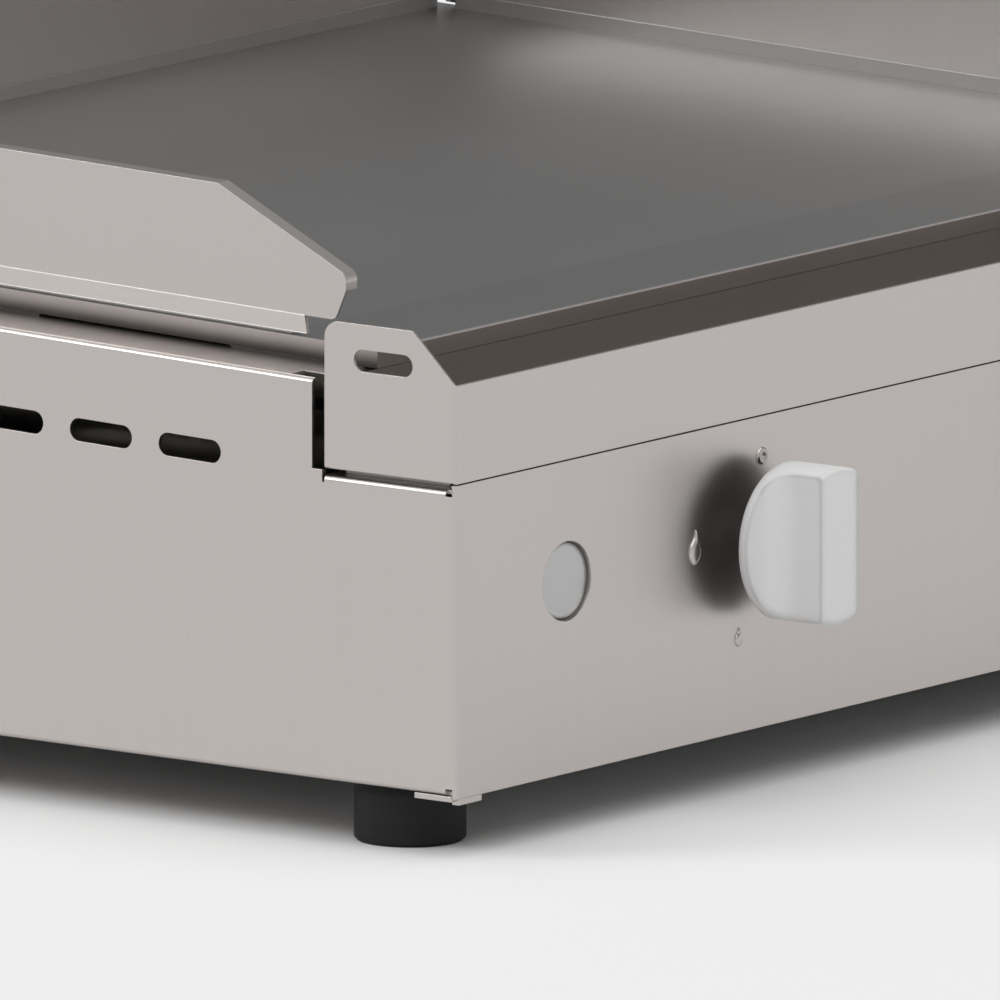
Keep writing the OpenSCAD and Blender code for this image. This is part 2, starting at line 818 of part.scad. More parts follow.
module guard_bars() {
    back_x0 = guard_x + guard_t + bar_side;
    place(steel) difference() {
        union() {
            both_sides() tilted(plate_top) along(bar_front, guard_back - bar_front - bar_end) bar_section();
            tilted(plate_top) across(back_x0, chassis_w - 2 * back_x0)
                translate([guard_back + guard_x, 0]) mirror([1, 0]) bar_section();
        }
        tilted(plate_top) bar_spots() translate([0, 0, -over])
            cylinder(r = bar_screw_r + run_gap, h = bar_bite + over);
    }
}

// Places of the screws under the bars
module bar_spots() {
    for (x = [bar_screw_x, chassis_w - bar_screw_x]) {
        for (y = [bar_front + screw_front, (bar_front + guard_back) / 2, guard_back - screw_back]) {
            translate([x, y, 0]) children();
        }
    }
    for (x = [chassis_w / 4, chassis_w / 2, 3 * chassis_w / 4]) {
        translate([x, guard_back + guard_x - bar_screw_x, 0]) children();
    }
}

module guard_screws() {
    head = 0.9 * bar_screw_r;
    place(zinc) tilted() bar_spots() translate([0, 0, pad_t + head])
        machine_screw(bar_screw_r, plate_t - head + 2);
}

// Burners

module burner(x, wall) {
    inset = wall;
    for (side = [-1, 1]) {
        rod_y(x + side * leg_x, leg_front + inset, knob_z, leg_r - wall, leg_l - 2 * inset);
    }
    rod_x(x - leg_x, cross_y, knob_z, cross_r - wall, 2 * leg_x);
    rod_y(x, mixer_front - inset, knob_z, mixer_r - wall, cross_y - mixer_front + inset);
}

module burner_ports(x) {
    for (side = [-1, 1]) {
        for (tilt = [-40, 40]) {
            for (i = [0 : port_count - 1]) {
                translate([x + side * leg_x, port_first + i * port_pitch, knob_z]) rotate([0, tilt, 0])
                    cylinder(r = port_r, h = leg_r + over, $fn = 16);
            }
        }
    }
}

module burner_left() {
    place(steel_dark) difference() {
        burner(knob_xs[0], 0);
        burner(knob_xs[0], tube_wall);
        burner_ports(knob_xs[0]);
    }
}

module burner_right() {
    place(steel_dark) difference() {
        burner(knob_xs[1], 0);
        burner(knob_xs[1], tube_wall);
        burner_ports(knob_xs[1]);
    }
}

module burner_cradles() {
    half = leg_x + leg_r + cradle_side;
    place(steel_dark) for (x = knob_xs) {
        difference() {
            union() {
                translate([x - half, cradle_y, pan_top]) cube([2 * half, cradle_t, knob_z - pan_top]);
                translate([x - half, cradle_y, pan_top]) cube([2 * half, cradle_foot, cradle_t]);
            }
            for (side = [-1, 1]) {
                rod_y(x + side * leg_x, cradle_y - over, knob_z, leg_r + run_gap, cradle_t + 2 * over);
            }
        }
    }
}

module heat_shield() {
    x0 = flange_w + shield_side;
    y0 = baffle_y + shield_front;
    t = shield_t;
    place(steel) difference() {
        translate([x0, y0, pan_top]) cube([chassis_w - 2 * x0, shield_back - y0, shield_z - pan_top]);
        translate([x0 + t, baffle_y, pan_top - over])
            cube([chassis_w - 2 * x0 - 2 * t, chassis_d, shield_z - pan_top - t + over]);
    }
}

// Gas train

module gas_manifold() {
    x0 = knob_xs[0] - manifold_over;
    len = knob_xs[1] - knob_xs[0] + 2 * manifold_over;
    place(zinc) difference() {
        union() {
            rod_x(x0, manifold_y, manifold_z, manifold_r, len);
            rod_x(x0 + len, manifold_y, manifold_z, feed_r + 2.5, 8);
        }
        rod_x(x0 + 3, manifold_y, manifold_z, manifold_r - 2, len - 6);
        rod_x(x0 + 3, manifold_y, manifold_z, feed_r + run_gap, len + 8);
    }
}

module manifold_brackets() {
    t = 3;
    place(steel) for (x = [knob_xs[0] + 50, knob_xs[1] - 50]) {
        difference() {
            union() {
                rod_x(x, manifold_y, manifold_z, manifold_r + 4, t);
                translate([x, manifold_y, manifold_z - 8]) cube([t, baffle_y - manifold_y, 16]);
                translate([x, baffle_y - 2, manifold_z - 14]) cube([18, 2, 28]);
            }
            rod_x(x - over, manifold_y, manifold_z, manifold_r + run_gap, t + 2 * over);
        }
    }
}

module gas_taps() {
    place(brass) for (x = knob_xs) {
        difference() {
            union() {
                rod_y(x, tap_front, knob_z, tap_r, tap_end - tap_front);
                rod_y(x, tap_end, knob_z, tap_nose_r, tap_nose - tap_end);
                translate([x - saddle_w / 2, manifold_y - saddle_l / 2, manifold_z])
                    cube([saddle_w, saddle_l, manifold_drop]);
                rod_x(x, port_y, knob_z, 4, port_end);
            }
            rod_y(x, tap_front - over, knob_z, stem_r + run_gap, stem_bore_end - tap_front + over);
            rod_y(x, stem_bore_end - over, knob_z, plunger_r + run_gap, tap_end - stem_bore_end - 1);
            rod_y(x, tap_end + 1, knob_z, injector_r + run_gap, tap_nose - tap_end);
            rod_x(x - saddle_w, manifold_y, manifold_z, manifold_r + run_gap, 2 * saddle_w);
            for (y = [-1, 1]) {
                translate([x, manifold_y + y * (manifold_r + 2), manifold_z - over])
                    cylinder(r = 1 + run_gap, h = 7 + over);
            }
        }
    }
}

module tap_clamps() {
    h = manifold_r + 3;
    place(zinc) for (x = knob_xs) {
        difference() {
            union() {
                translate([x - 6, manifold_y - saddle_l / 2, manifold_z - h]) cube([12, saddle_l, h - 0.5]);
                for (y = [-1, 1]) {
                    translate([x, manifold_y + y * (manifold_r + 2), manifold_z - over])
                        cylinder(r = 1, h = 6);
                }
            }
            rod_x(x - saddle_w, manifold_y, manifold_z, manifold_r + run_gap, 2 * saddle_w);
        }
    }
}

module injectors() {
    place(brass) for (x = knob_xs) {
        difference() {
            union() {
                rod_y(x, tap_end + 1.5, knob_z, injector_r, tap_nose - tap_end - 1.5);
                translate([x, tap_nose, knob_z]) rotate([-90, 0, 0]) cylinder(r = 5.2, h = 5, $fn = 6);
                translate([x, tap_nose + 5, knob_z]) rotate([-90, 0, 0]) cylinder(r1 = 3.6, r2 = 2, h = 5);
            }
            rod_y(x, tap_end, knob_z, 0.6, 20);
        }
    }
}

// Push pin of a tap's safety valve, behind the stem
module tap_plunger(x) {
    place(brass) rod_y(x, stem_end + 0.3, knob_z, plunger_r, plunger_l);
}

// Closed solid of the return spring, as long as it is when the knob is pushed in
module tap_spring(x) {
    len = stem_bore_end - stem_end - knob_push - 0.6;
    place(zinc) difference() {
        rod_y(x, stem_end + 0.3, knob_z, stem_r - 0.3, len);
        rod_y(x, stem_end - over, knob_z, plunger_r + run_gap, len + 3 * over);
    }
}

// Spindle with a flat for the knob
module tap_stem(x) {
    front = -knob_off - 14;
    place(brass) difference() {
        rod_y(x, front, knob_z, stem_r, stem_end - front);
        translate([x - stem_r, front - over, knob_z + stem_r - 1.4]) cube([2 * stem_r, 14 + over, 2]);
    }
}

// Knob outline seen along the bar: disc, bar and the hollow between them
module scoop_outline() {
    x0 = bar_t / 2;
    translate([x0 + scoop_r, disc_t]) square([knob_d, knob_depth]);
    translate([x0, disc_t + scoop_r]) square([knob_d, knob_depth]);
    translate([x0 + scoop_r, disc_t + scoop_r]) circle(scoop_r);
}

// Knob with its back at z = 0 and its bar along Y
module knob_body() {
    edge = 1.2;
    r = knob_d / 2;
    difference() {
        rotate_extrude($fn = 96) polygon([[0, 0], [r - 0.6, 0], [r, 0.6], [r, knob_depth - edge],
            [r - edge, knob_depth], [0, knob_depth]]);
        for (side = [0, 1]) {
            mirror([side, 0, 0]) translate([0, knob_d, 0]) rotate([90, 0, 0])
                linear_extrude(2 * knob_d) scoop_outline();
        }
        difference() {
            translate([0, 0, -over]) cylinder(r = stem_r + run_gap, h = 14.5 + over);
            translate([-stem_r - over, stem_r - 1.4 + run_gap, -2 * over]) cube([2 * stem_r + 2 * over, 3, 20]);
        }
        difference() {
            translate([0, 0, -over]) cylinder(r = r - 3, h = disc_t - 1.8 + over);
            translate([0, 0, -2 * over]) cylinder(r = stem_r + 4, h = disc_t + 2 * over);
        }
    }
}

module knob(x) {
    place(knob_grey) translate([x, -knob_off, knob_z]) rotate([90, 0, 0]) knob_body();
}

// Ignition and flame guard

module thermocouple_probes() {
    place(zinc) for (x = knob_xs) {
        rod_y(x + probe_x, rod_back, rod_z, probe_r, port_first + probe_over - rod_back);
        rod_y(x + probe_x, baffle_y - collar_l, rod_z, probe_r + collar_w, collar_l);
    }
}

module thermocouple_lines() {
    start = [port_end, port_y, knob_z];
    way = [probe_x, rod_back, rod_z] - start;
    place(brass) for (x = knob_xs) {
        translate([x, 0, 0])
            tube([for (f = line_shape) start + [f[0] * way[0], f[1] * way[1], f[2] * way[2]]], line_r, 8);
    }
}

module electrodes() {
    place(ceramic) for (x = knob_xs) {
        rod_y(x + spark_x, rod_back - 4, rod_z, ceramic_r, port_first - 14 - rod_back);
        rod_y(x + spark_x, baffle_y - 4, rod_z, ceramic_r + 3, 4);
    }
}

module electrode_tips() {
    place(zinc) for (x = knob_xs) {
        rod_y(x + spark_x, port_first - 18, rod_z, 1, tip_end - port_first + 18);
        translate([x + spark_x, rod_back, rod_z + ceramic_r]) cylinder(r = 1.2, h = 6);
    }
}

module igniter_housing() {
    flange = 2;
    place(black) difference() {
        union() {
            rod_y(button_x, sheet, knob_z, housing_r, cavity_end + 2 - sheet);
            rod_y(button_x, cavity_end, knob_z, housing_mid_r, housing_end - cavity_end);
            translate([button_x, sheet, knob_z]) rotate([-90, 0, 0])
                linear_extrude(flange) slot(2 * stud_x + 12, 12);
            for (side = [-1, 1]) {
                translate([button_x + side * 5, terminal_y, knob_z]) cylinder(r = 2.6, h = housing_mid_r + 2);
                translate([button_x + side * 5, terminal_y, knob_z]) cylinder(r = 1.2, h = housing_mid_r + 5);
            }
        }
        rod_y(button_x, sheet - over, knob_z, cavity_r, cavity_end - sheet + over);
        rod_y(button_x, cavity_end - over, knob_z, button_stem_r + 3.6, pocket_end - cavity_end + over);
        rod_y(button_x, pocket_end - over, knob_z, button_stem_r + run_gap, button_travel + 4);
        for (side = [-1, 1]) {
            rod_y(button_x + side * stud_x, sheet - over, knob_z, 1.5 + hole_gap, flange + 2 * over);
        }
    }
}

// Studs welded behind the front panel, each with its nut
module igniter_studs() {
    place(zinc) for (side = [-1, 1]) {
        rod_y(button_x + side * stud_x, sheet, knob_z, 1.5, 8);
        translate([button_x + side * stud_x, sheet + 2, knob_z]) rotate([-90, 0, 0])
            cylinder(r = 3.2, h = 2.4, $fn = 6);
    }
}

module igniter_button() {
    dip = sqrt(dish_r * dish_r - (button_r - 1.2) * (button_r - 1.2));
    place(knob_grey) difference() {
        union() {
            rod_y(button_x, button_deep, knob_z, button_r, cap_l);
            rod_y(button_x, cap_back - over, knob_z, button_stem_r, button_stem_end - cap_back + over);
        }
        translate([button_x, button_deep - dip, knob_z]) sphere(r = dish_r, $fn = 96);
    }
}

module igniter_spring() {
    place(zinc) difference() {
        rod_y(button_x, cap_back, knob_z, button_stem_r + 3.2, pocket_end - cap_back - button_travel - 0.4);
        rod_y(button_x, cap_back - over, knob_z, button_stem_r + run_gap, pocket_end);
    }
}

// Bend of a lead from the upright over point p into its level run, to the right or left of it
function lead_turn(p, h, side) =
    [for (a = [0 : 22.5 : 90]) [p[0] + side * lead_bend * (1 - cos(a)), p[1], h - lead_bend * (1 - sin(a))]];
// Route from terminal s over height h and along y to electrode e
function lead_route(s, e, h, middle) =
    let (fall = lead_turn(e, h, -1))
    concat([s], lead_turn(s, h, 1), middle, [for (i = [len(fall) - 1 : -1 : 0]) fall[i]], [e]);

module ignition_leads() {
    starts = [for (side = [1, -1]) [button_x + side * 5, terminal_y, knob_z + housing_mid_r + 5]];
    ends = [for (x = knob_xs) [x + spark_x, rod_back, rod_z + ceramic_r + 6]];
    near = starts[0][0] + lead_bend;
    gap = ends[0][0] - lead_bend - near;
    drift = rod_back - terminal_y;
    place(black) {
        tube(lead_route(starts[0], ends[0], lead_low,
            [for (f = [0.3, 0.7]) [near + f * gap, terminal_y + (1.75 * f - 0.375) * drift, lead_low]]), lead_r, 8);
        tube(lead_route(starts[1], ends[1], lead_high,
            [[near, terminal_y + 1.5, lead_high], [near + 20, lead_y - 1.5, lead_high], [near + 40, lead_y, lead_high],
                [clip_xs[1] + 10, lead_y, lead_high], [ends[1][0] - 25, lead_y - 0.4, lead_high]]), lead_r, 8);
    }
}

module lead_clips() {
    w = 6;
    place(black) for (x = clip_xs) {
        difference() {
            translate([x - w / 2, lead_y - 4, lead_high - 4]) cube([w, baffle_y - lead_y + 4, 8]);
            rod_x(x - w, lead_y, lead_high, lead_r + 3 * run_gap, 2 * w);
        }
    }
}

// Feed from the inlet at the back to the manifold

module gas_feed_pipe() {
    start = knob_xs[1] + manifold_over - 3;
    turn = feed_x - feed_bend;
    place(brass) {
        rod_x(start, feed_y, inlet_z, feed_r, turn - start);
        translate([turn, feed_y + feed_bend, inlet_z]) rotate([0, 0, -90]) rotate_extrude(angle = 90)
            translate([feed_bend, 0]) circle(feed_r);
        rod_y(feed_x, feed_y + feed_bend, inlet_z, feed_r, rear_y - 14 - feed_y - feed_bend);
    }
}

module gas_inlet() {
    end = chassis_d + inlet_l;
    place(brass) difference() {
        union() {
            rod_y(feed_x, rear_y - 22, inlet_z, inlet_neck, chassis_d - rear_y + 23);
            translate([feed_x, chassis_d, inlet_z]) rotate([-90, 0, 0]) cylinder(r = inlet_hex, h = 5, $fn = 6);
            rod_y(feed_x, chassis_d + 4, inlet_z, inlet_r, end - chassis_d - 4);
        }
        rod_y(feed_x, rear_y - 22 - over, inlet_z, feed_r + run_gap, 8 + over);
        rod_y(feed_x, rear_y - 22, inlet_z, 4, end);
    }
}

module inlet_nut() {
    place(zinc) translate([feed_x, rear_y - 6, inlet_z]) rotate([-90, 0, 0]) difference() {
        cylinder(r = inlet_hex - 2, h = 6, $fn = 6);
        translate([0, 0, -over]) cylinder(r = inlet_neck + run_gap, h = 6 + 2 * over);
    }
}

chassis_wrap();
rear_panel();
base_pan();
corner_plates();
feet();
foot_screws();
foot_nuts();
front_baffle();
tray_runners();
grease_tray();
plate_pads();
cooking_plate();
splash_guard_left();
splash_guard_right();
splash_guard_back();
guard_bars();
guard_screws();
burner_left();
burner_right();
burner_cradles();
heat_shield();
gas_manifold();
manifold_brackets();
gas_taps();
tap_clamps();
injectors();
tap_plunger(knob_xs[0]);  // tap_plunger_left
tap_plunger(knob_xs[1]);  // tap_plunger_right
tap_spring(knob_xs[0]);  // tap_spring_left
tap_spring(knob_xs[1]);  // tap_spring_right
tap_stem(knob_xs[0]);  // tap_stem_left
tap_stem(knob_xs[1]);  // tap_stem_right
knob(knob_xs[0]);  // knob_left
knob(knob_xs[1]);  // knob_right
thermocouple_probes();
thermocouple_lines();
electrodes();
electrode_tips();
igniter_housing();
igniter_studs();
igniter_button();
igniter_spring();
ignition_leads();
lead_clips();
gas_feed_pipe();
gas_inlet();
inlet_nut();
panel_screws();
pan_screws();
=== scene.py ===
"""Gas plancha griddle: looks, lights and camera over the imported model."""

import math

import bmesh
import bpy
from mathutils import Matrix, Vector


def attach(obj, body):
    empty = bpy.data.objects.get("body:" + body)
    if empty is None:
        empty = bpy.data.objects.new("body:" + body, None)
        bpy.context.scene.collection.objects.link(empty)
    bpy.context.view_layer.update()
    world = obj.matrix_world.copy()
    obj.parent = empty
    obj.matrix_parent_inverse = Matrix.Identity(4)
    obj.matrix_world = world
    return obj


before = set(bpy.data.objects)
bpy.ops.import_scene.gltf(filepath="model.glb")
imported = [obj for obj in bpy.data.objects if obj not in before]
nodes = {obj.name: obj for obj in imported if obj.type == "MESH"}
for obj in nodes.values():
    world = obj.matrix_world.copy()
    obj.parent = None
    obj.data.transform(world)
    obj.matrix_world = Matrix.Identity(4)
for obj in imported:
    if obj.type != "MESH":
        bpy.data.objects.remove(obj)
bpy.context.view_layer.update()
scene = bpy.context.scene
scene.view_settings.view_transform = "Standard"

X, Y, Z = 0, 1, 2

# the row frame's origin in the part's working frame, in mm: mid width, mid depth, the ground
MID_WIDTH, MID_DEPTH, GROUND = 310, 234.25, -23.3


def at(x, y, z):
    """A point of the part's working frame, in mm, as a point of the row frame."""
    return Vector(((x - MID_WIDTH) / 1000, (y - MID_DEPTH) / 1000, (z - GROUND) / 1000))


# places on the front panel, in mm of the working frame
BUTTON_X, CONTROLS_Z = 67, 69
KNOB_XS = {"left": 182, "right": 438}


def add(name, data):
    """An object of the scene that holds the data."""
    obj = bpy.data.objects.new(name, data)
    scene.collection.objects.link(obj)
    return obj


def add_mesh(name, form, material):
    """An object made of a bmesh, which is freed."""
    mesh = bpy.data.meshes.new(name)
    form.to_mesh(mesh)
    form.free()
    mesh.materials.append(material)
    return add(name, mesh)


def aim(obj, direction, track):
    """Turn an object so that its track axis follows the direction, with its Y axis upwards."""
    obj.rotation_mode = "QUATERNION"
    obj.rotation_quaternion = direction.to_track_quat(track, "Y")


# ---------------------------------------------------------------- camera

AZIMUTH, ELEVATION = math.radians(-53.18), math.radians(9.96)
# a long lens from afar, because the photograph's view is very nearly parallel
LENS, SENSOR = 1700, 36
# the picture is 1000 pixels wide at 2.8 pixels a millimetre
PICTURE_WIDTH = 0.35714
PICTURE_CENTRE = at(26.94, 0, 104.1)
BACK = Vector(
    (
        math.sin(AZIMUTH) * math.cos(ELEVATION),
        -math.cos(AZIMUTH) * math.cos(ELEVATION),
        math.sin(ELEVATION),
    )
)

camera = add("camera", bpy.data.cameras.new("camera"))
camera.data.lens, camera.data.sensor_width = LENS, SENSOR
camera.data.clip_start, camera.data.clip_end = 0.5, 120
camera.location = PICTURE_CENTRE + BACK * (LENS / SENSOR * PICTURE_WIDTH)
aim(camera, -BACK, "-Z")
scene.camera = camera


# ---------------------------------------------------------------- node helpers


class Nodes:
    """A node tree with short calls for the nodes used here."""

    def __init__(self, tree):
        self.tree = tree

    def node(self, kind, *inputs, **settings):
        """A new node with its settings, fed with the inputs in order."""
        node = self.tree.nodes.new("ShaderNode" + kind)
        for key, value in settings.items():
            setattr(node, key, value)
        for value, socket in zip(inputs, node.inputs):
            self.feed(value, socket)
        return node

    def feed(self, value, socket):
        """Link a socket to the output of a node, or give it a constant."""
        if isinstance(value, bpy.types.NodeSocket):
            self.tree.links.new(value, socket)
        else:
            socket.default_value = value

    def math(self, operation, a, b=0.0):
        return self.node("Math", a, b, operation=operation).outputs[0]

    def dot(self, vector, direction):
        return self.node("VectorMath", vector, direction, operation="DOT_PRODUCT").outputs["Value"]

    def mix(self, factor, a, b):
        """The number a where factor is 0, b where it is 1."""
        node = self.node("Mix", factor, data_type="FLOAT")
        self.feed(a, node.inputs[2])
        self.feed(b, node.inputs[3])
        return node.outputs[0]

    def ramp(self, value, start, end, before=0.0, after=1.0):
        """The number before up to start, after from end on, smooth between."""
        node = self.node(
            "MapRange", value, start, end, before, after, interpolation_type="SMOOTHSTEP"
        )
        return node.outputs[0]

    def around(self, middle, width, *fields):
        """The middle plus the sum of (field - 0.5) * width."""
        total = fields[0]
        for field in fields[1:]:
            total = self.math("ADD", total, field)
        swing = self.math("MULTIPLY", total, width)
        return self.math("ADD", swing, middle - width * len(fields) / 2)


class Shader(Nodes):
    """A material's node tree, with its own noise, faces, colours and bump."""

    INPUTS = {
        "color": "Base Color",
        "metal": "Metallic",
        "rough": "Roughness",
        "specular": "Specular IOR Level",
    }

    def __init__(self, name):
        self.material = bpy.data.materials.new(name)
        self.material.use_nodes = True
        super().__init__(self.material.node_tree)
        self.bsdf = self.tree.nodes["Principled BSDF"]
        self.coords = self.node("TexCoord").outputs["Object"]
        self.normal = self.node("NewGeometry").outputs["True Normal"]

    def axis(self, vector, index):
        return self.node("SeparateXYZ", vector).outputs[index]

    def facing(self, index, start, full):
        """1 on the faces whose normal passes full along the axis, 0 up to start."""
        return self.ramp(self.axis(self.normal, index), start, full)

    def facing_either(self, index, start, full):
        """The same, whichever way along the axis the face looks."""
        return self.ramp(self.math("ABSOLUTE", self.axis(self.normal, index)), start, full)

    def noise(self, scale, detail=2.0, rough=0.5):
        """Noise in object space; scale is per metre along each axis."""
        place = self.node("Mapping", self.coords)
        place.inputs["Scale"].default_value = scale
        node = self.node("TexNoise", place.outputs[0])
        node.inputs["Scale"].default_value = 1.0
        node.inputs["Detail"].default_value = detail
        node.inputs["Roughness"].default_value = rough
        return node.outputs["Fac"]

    def blend(self, factor, a, b):
        """The colour a where factor is 0, b where it is 1."""
        node = self.node("Mix", factor, data_type="RGBA")
        for value, socket in ((a, node.inputs[6]), (b, node.inputs[7])):
            self.feed((*value, 1) if isinstance(value, tuple) else value, socket)
        return node.outputs[2]

    def vary(self, base, spread, *fields):
        """A colour that is the base times 1 + the sum of (field - 0.5) * spread."""
        node = self.node("VectorMath", base, operation="SCALE")
        self.feed(self.around(1.0, spread, *fields), node.inputs["Scale"])
        return node.outputs[0]

    def relief(self, height, depth, round_off=0.0):
        """Bump of the given depth in metres over edges rounded by round_off."""
        bump = self.node("Bump")
        bump.inputs["Distance"].default_value = depth
        self.feed(height, bump.inputs["Height"])
        if round_off:
            bevel = self.node("Bevel", round_off, samples=4)
            self.feed(bevel.outputs[0], bump.inputs["Normal"])
        self.feed(bump.outputs[0], self.bsdf.inputs["Normal"])

    def set(self, **values):
        for key, value in values.items():
            if isinstance(value, tuple):
                value = (*value, 1)
            self.feed(value, self.bsdf.inputs[self.INPUTS[key]])


# ---------------------------------------------------------------- materials

MM = 0.001
METAL, NOT_METAL = 1.0, 0.0
SHEET_EDGE = 0.4 * MM
# lines of the grain to a metre, across them and along them
ACROSS, ALONG = 1500, 9


def brushed(name, base, rough=0.32, spread=0.08, depth=0.007 * MM):
    """Brushed sheet: fine grain lines that run up the walls and front to back on flat faces."""
    s = Shader(name)
    wall = s.noise((ACROSS, ACROSS, ALONG), detail=3.0, rough=0.6)
    level = s.noise((ACROSS, ALONG, ACROSS), detail=3.0, rough=0.6)
    grain = s.mix(s.facing_either(Z, 0.6, 0.8), wall, level)
    cloud = s.noise((9, 9, 6), detail=3.0)
    half_cloud = s.math("MULTIPLY", s.math("ADD", cloud, 0.5), 0.5)
    s.set(
        color=s.vary(base, spread, grain, half_cloud),
        metal=METAL,
        rough=s.around(rough, 0.8 * spread, grain, cloud),
    )
    s.relief(grain, depth, SHEET_EDGE)
    return s.material


def satin(name, base, metal, rough, speckle=1600, spread=0.08, depth=0.02 * MM, **extra):
    """A cast, moulded or blasted surface; speckle is how many grains lie to a metre."""
    s = Shader(name)
    fine = s.noise((speckle,) * 3)
    cloud = s.noise((25, 25, 25), detail=3.0)
    s.set(
        color=s.vary(base, spread, fine, cloud),
        metal=metal,
        rough=s.around(rough, 0.1, cloud),
        **extra,
    )
    s.relief(fine, depth, SHEET_EDGE)
    return s.material


# the plate rises 1.63 degrees to the back
PLATE_RISE = 0.02846
# where its front strip ends, how soft that line is, and the strip's further fall in mm a metre
STRIP_END, STRIP_BLUR, STRIP_FALL = -0.1352, 0.2 * MM, 20.0
# heights between which painted shade darkens its side faces towards their foot, taken where y is 0
# in the working frame
SHADE_TOP, SHADE_FOOT = 0.1756, 0.1680
# painted shade: the front strip's tone is a darker copy of the main tone, beside its bumped tilt
PLATE_MAIN, PLATE_STRIP_PAINTED_SHADE = (0.37, 0.369, 0.367), (0.34, 0.339, 0.338)
# painted light: lighter copies of the plate's tone for its front faces, then for its side faces
PLATE_FRONT_PAINTED_LIGHT, PLATE_SIDE_PAINTED_LIGHT = (0.60, 0.555, 0.54), (0.40, 0.365, 0.35)
# painted shade: the dark tone low on the side faces
PLATE_PAINTED_SHADE = (0.05, 0.046, 0.044)
PLATE_GRAIN_MM = 0.008


def plate_material():
    """Ground steel plate, with painted shade and light: a darker strip along the front, lighter
    tones on the front and side faces, and shade low on the side faces.
    """
    s = Shader("plate_steel")
    fine = s.noise((2400, 300, 2400), detail=3.0)
    cloud = s.noise((7, 7, 7), detail=3.0)
    y, z = s.axis(s.coords, Y), s.axis(s.coords, Z)
    rise = s.math("MULTIPLY", s.math("ADD", y, MID_DEPTH / 1000), PLATE_RISE)
    height = s.math("SUBTRACT", z, rise)
    side = s.facing_either(X, 0.6, 0.75)
    front = s.facing(Y, -0.6, -0.75)
    strip = s.ramp(y, STRIP_END + STRIP_BLUR, STRIP_END - STRIP_BLUR)
    # painted shade: the side faces darken towards their foot, over the flange
    scale = s.math("MULTIPLY", side, s.ramp(height, SHADE_TOP, SHADE_FOOT))
    # painted shade: the front strip darker than the rest of the top
    tone = s.blend(strip, PLATE_MAIN, PLATE_STRIP_PAINTED_SHADE)
    # painted light: the front and side faces lighter than the top
    tone = s.blend(front, tone, PLATE_FRONT_PAINTED_LIGHT)
    tone = s.blend(side, tone, PLATE_SIDE_PAINTED_LIGHT)
    tone = s.blend(scale, tone, PLATE_PAINTED_SHADE)
    s.set(color=s.vary(tone, 0.08, fine, cloud), metal=METAL, rough=s.around(0.31, 0.08, cloud))
    fall = s.math("MINIMUM", s.math("SUBTRACT", y, STRIP_END), 0.0)
    fall = s.math("MULTIPLY", fall, STRIP_FALL)
    s.relief(s.math("ADD", fall, s.math("MULTIPLY", fine, PLATE_GRAIN_MM)), MM)
    return s.material


# the second colour is painted shade: near-black on the knob's faces that look back at the panel
KNOB_SILVER, KNOB_PAINTED_SHADE = (0.70, 0.70, 0.70), (0.01, 0.01, 0.01)


def knob_material():
    """Silver-grey moulded knob, with near-black painted shade on its back faces."""
    s = Shader("knob_moulding")
    fine = s.noise((2500, 2500, 2500))
    cloud = s.noise((30, 30, 30))
    silver = s.vary(KNOB_SILVER, 0.05, fine, cloud)
    s.set(
        # painted shade: the faces looking back at the panel turn near-black
        color=s.blend(s.facing(Y, 0.3, 0.6), silver, KNOB_PAINTED_SHADE),
        metal=NOT_METAL,
        rough=s.around(0.48, 0.06, cloud),
        specular=0.2,
    )
    s.relief(fine, 0.01 * MM, 5 * MM)
    return s.material


BUTTON_GREY = (0.56, 0.56, 0.56)
# the dome's fall in mm is this times the square of the metres off its centre
BUTTON_DOME = 9000.0
BUTTON_GRAIN_MM = 0.02


def button_material():
    """Satin metal button with a slightly domed face."""
    s = Shader("button_metal")
    fine = s.noise((1600, 1600, 1600))
    centre = at(BUTTON_X, 0, CONTROLS_Z)
    x = s.math("SUBTRACT", s.axis(s.coords, X), centre.x)
    z = s.math("SUBTRACT", s.axis(s.coords, Z), centre.z)
    off_centre = s.math("ADD", s.math("MULTIPLY", x, x), s.math("MULTIPLY", z, z))
    dome = s.math("MULTIPLY", off_centre, -BUTTON_DOME)
    s.set(color=s.vary(BUTTON_GREY, 0.04, fine), metal=METAL, rough=0.42)
    s.relief(s.math("ADD", dome, s.math("MULTIPLY", fine, BUTTON_GRAIN_MM)), MM, 1.5 * MM)
    return s.material


BURNER_PLAIN, BURNER_STRAW = (0.50, 0.47, 0.44), (0.42, 0.33, 0.22)


def burner_material():
    """Stainless tube with patches of the straw tint that heat leaves."""
    s = Shader("burner_steel")
    fine = s.noise((1200, 40, 1200))
    cloud = s.noise((18, 10, 18), detail=3.0)
    tint = s.blend(s.ramp(cloud, 0.45, 0.7), BURNER_PLAIN, BURNER_STRAW)
    s.set(color=s.vary(tint, 0.15, fine), metal=METAL, rough=0.34)
    s.relief(fine, 0.01 * MM, SHEET_EDGE)
    return s.material


STAINLESS = (0.57, 0.535, 0.515)
steel = brushed("brushed_stainless", STAINLESS)

